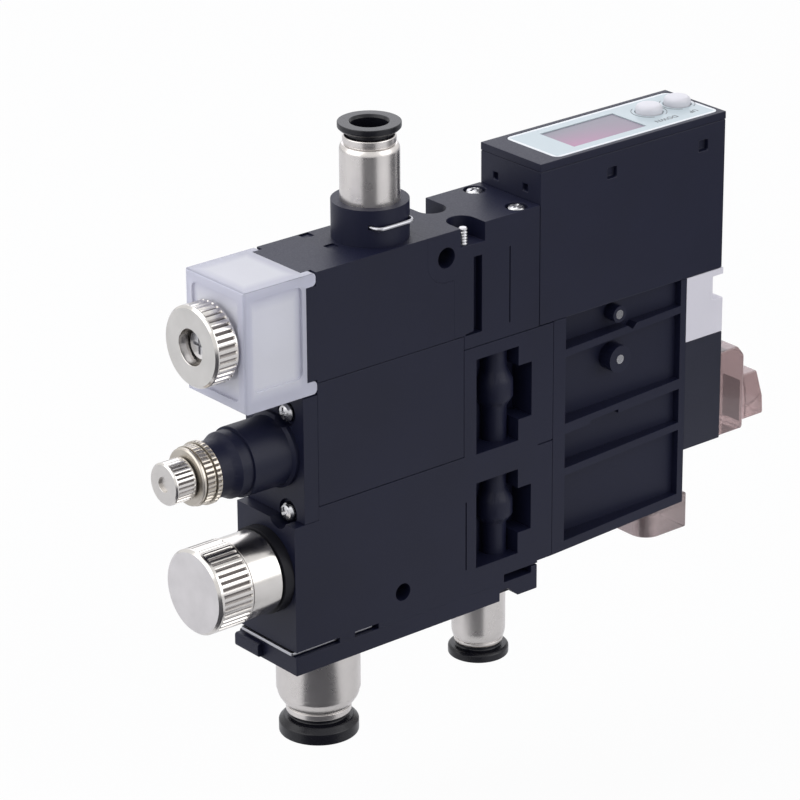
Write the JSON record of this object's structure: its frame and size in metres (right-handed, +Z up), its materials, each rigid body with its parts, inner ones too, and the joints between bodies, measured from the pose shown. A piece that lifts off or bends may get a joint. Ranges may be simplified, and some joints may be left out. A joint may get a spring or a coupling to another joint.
{
  "type": "vacuum ejector",
  "caption": "Slim vacuum ejector unit with push-in tube fittings, knurled needle, filter knob, pilot valve and a digital pressure switch.",
  "frame": {"origin": "centre of the upper fixing hole, halfway through the thickness", "axes": "+X from the knob end to the plug end, +Y through the thickness along the fixing holes, +Z up to the top tube fitting"},
  "size_m": [0.1323, 0.0158, 0.1073],
  "materials": {
    "moulded_black": "matte",
    "coil_black": "satin",
    "nickel": "bright",
    "steel": "bright",
    "release_black": "satin",
    "seal_rubber": "matte",
    "frosted_cover": "frosted",
    "porous_white": "matte",
    "valve_grey": "matte",
    "smoky_clear": "clear",
    "panel_blue": "satin",
    "display_dark": "gloss",
    "button_white": "satin",
    "brass_part": "machined",
    "board_green": "matte"
  },
  "bodies": {
    "unit": {"ejector_block": "moulded_black", "needle_block": "moulded_black", "port_block": "moulded_black", "lug_block": "moulded_black", "base_plate": "moulded_black", "valve_frame": "moulded_black", "base_clip": "steel", "port_clip": "steel", "needle_plate": "moulded_black", "plate_screws": "steel", "manifold_screws": "steel", "notch_screw": "steel", "frame_pins": "steel", "filter_cover": "frosted_cover", "filter_element": "porous_white", "filter_seal": "seal_rubber", "cap_ring": "seal_rubber", "nozzle": "brass_part", "diffuser": "brass_part", "ejector_seals": "seal_rubber", "top_fitting": "nickel", "large_fitting": "nickel", "small_fitting": "nickel", "top_collet": "steel", "large_collet": "steel", "small_collet": "steel", "top_seal": "seal_rubber", "large_seal": "seal_rubber", "small_seal": "seal_rubber", "valve_coil": "coil_black", "valve_head": "valve_grey", "coil_socket": "smoky_clear", "coil_plug": "smoky_clear", "lower_socket": "smoky_clear", "switch_case": "moulded_black", "switch_lid": "moulded_black", "label_panel": "panel_blue", "display_window": "display_dark", "switch_board": "board_green", "pressure_sensor": "valve_grey"},
    "top_ring_body": {"top_ring": "release_black"},
    "large_ring_body": {"large_ring": "release_black"},
    "small_ring_body": {"small_ring": "release_black"},
    "up_button_body": {"up_button": "button_white"},
    "down_button_body": {"down_button": "button_white"},
    "needle_slide_body": {"needle_seal": "seal_rubber"},
    "needle_body": {"needle": "nickel"},
    "lock_nut_body": {"lock_nut": "nickel"},
    "filter_knob_body": {"filter_knob": "nickel", "filter_stud": "steel"},
    "ejector_cap_body": {"ejector_cap": "nickel"}
  },
  "joints": [
    {"name": "top_ring_press", "type": "slide", "parent": "unit", "child": "top_ring_body", "axis": [0, 0, -1], "range_m": [0, 0.0007], "stiffness_N_per_m": 1500, "springref_m": -0.0004},
    {"name": "large_ring_press", "type": "slide", "parent": "unit", "child": "large_ring_body", "axis": [0, 0, 1], "range_m": [0, 0.0007], "stiffness_N_per_m": 1500, "springref_m": -0.0004},
    {"name": "small_ring_press", "type": "slide", "parent": "unit", "child": "small_ring_body", "axis": [0, 0, 1], "range_m": [0, 0.0007], "stiffness_N_per_m": 1500, "springref_m": -0.0004},
    {"name": "up_button_press", "type": "slide", "parent": "unit", "child": "up_button_body", "axis": [0, 0, -1], "range_m": [0, 0.0006], "stiffness_N_per_m": 800, "springref_m": -0.0003},
    {"name": "down_button_press", "type": "slide", "parent": "unit", "child": "down_button_body", "axis": [0, 0, -1], "range_m": [0, 0.0006], "stiffness_N_per_m": 800, "springref_m": -0.0003},
    {"name": "needle_travel", "type": "slide", "parent": "unit", "child": "needle_slide_body", "axis": [-1, 0, 0], "range_m": [0, 0.0015]},
    {"name": "needle_turn", "type": "hinge", "parent": "needle_slide_body", "child": "needle_body", "pos_m": [-0.051, 0, -0.0283], "axis": [-1, 0, 0], "range_deg": [0, 1080]},
    {"name": "lock_nut_turn", "type": "hinge", "parent": "unit", "child": "lock_nut_body", "pos_m": [-0.0475, 0, -0.0283], "axis": [-1, 0, 0], "range_deg": [0, 90]},
    {"name": "filter_knob_turn", "type": "hinge", "parent": "unit", "child": "filter_knob_body", "pos_m": [-0.045, 0, -0.0059], "axis": [-1, 0, 0], "range_deg": [0, 90]},
    {"name": "ejector_cap_turn", "type": "hinge", "parent": "unit", "child": "ejector_cap_body", "pos_m": [-0.041, 0, -0.0494], "axis": [-1, 0, 0], "range_deg": [0, 90]}
  ],
  "couplings": [
    {"joint": "needle_turn", "follows": "needle_travel", "rad_per_m": 12566}
  ]
}
